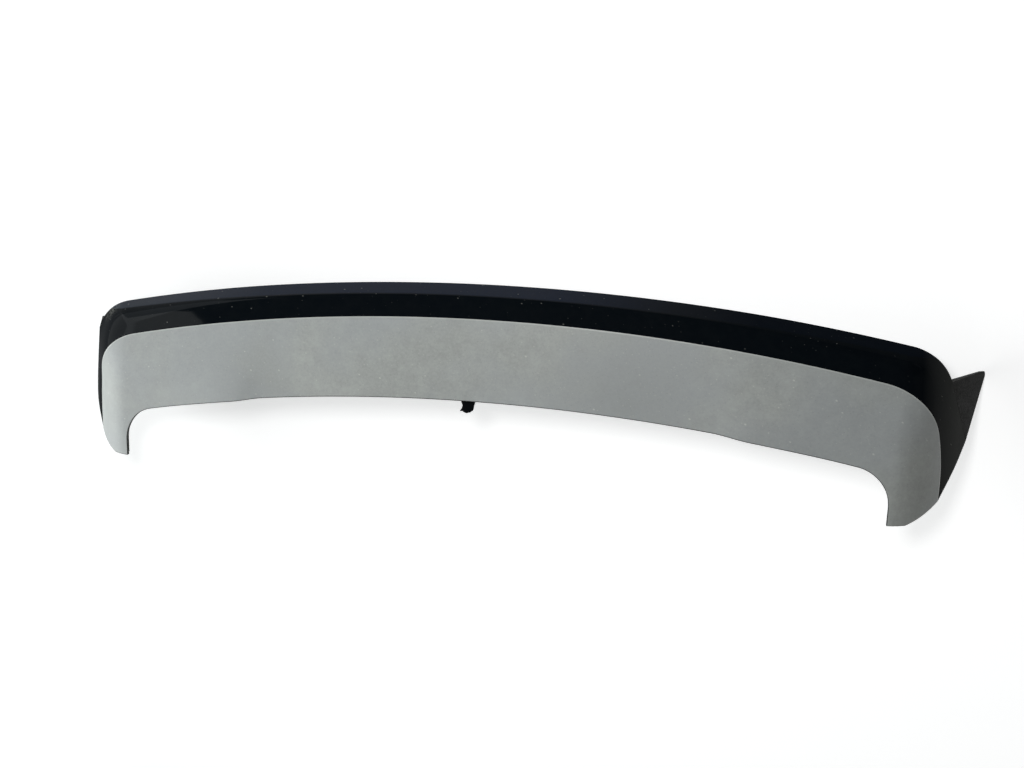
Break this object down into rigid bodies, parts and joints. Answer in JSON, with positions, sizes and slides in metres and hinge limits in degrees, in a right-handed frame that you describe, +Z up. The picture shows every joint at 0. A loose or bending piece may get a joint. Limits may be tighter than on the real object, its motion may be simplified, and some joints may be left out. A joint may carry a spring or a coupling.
{
  "type": "rear roof spoiler",
  "caption": "Rear roof spoiler with a painted top skin, gloss black trailing rim, hanging side fins and studs that hold it to a tailgate.",
  "frame": {"origin": "middle of the inner pair of studs, in the plane where the stud bosses seat on the tailgate", "axes": "+X across the car, +Y rearwards, +Z up, as mounted on a closed tailgate"},
  "size_m": [1.2494, 0.253, 0.1575],
  "materials": {
    "grey_paint": "satin silver-grey paint, dusty",
    "gloss_black": "gloss black, dusty",
    "textured_black": "fine-grained black",
    "clip_black": "moulded black, broken end",
    "foam": "closed-cell foam",
    "zinc_steel": "zinc plated"
  },
  "bodies": {
    "root": {"upper_skin": "grey_paint", "trailing_rim": "gloss_black", "lower_shell": "textured_black", "side_fin_right": "textured_black", "side_fin_left": "textured_black", "leading_seal_right": "foam", "leading_seal_left": "foam", "centre_clip": "clip_black", "fin_screw_right_1": "zinc_steel", "fin_screw_right_2": "zinc_steel", "fin_screw_left_1": "zinc_steel", "fin_screw_left_2": "zinc_steel", "stud_1": "zinc_steel", "stud_gasket_1": "foam", "stud_2": "zinc_steel", "stud_gasket_2": "foam", "stud_3": "zinc_steel", "stud_gasket_3": "foam", "stud_4": "zinc_steel", "stud_gasket_4": "foam"}
  },
  "joints": []
}
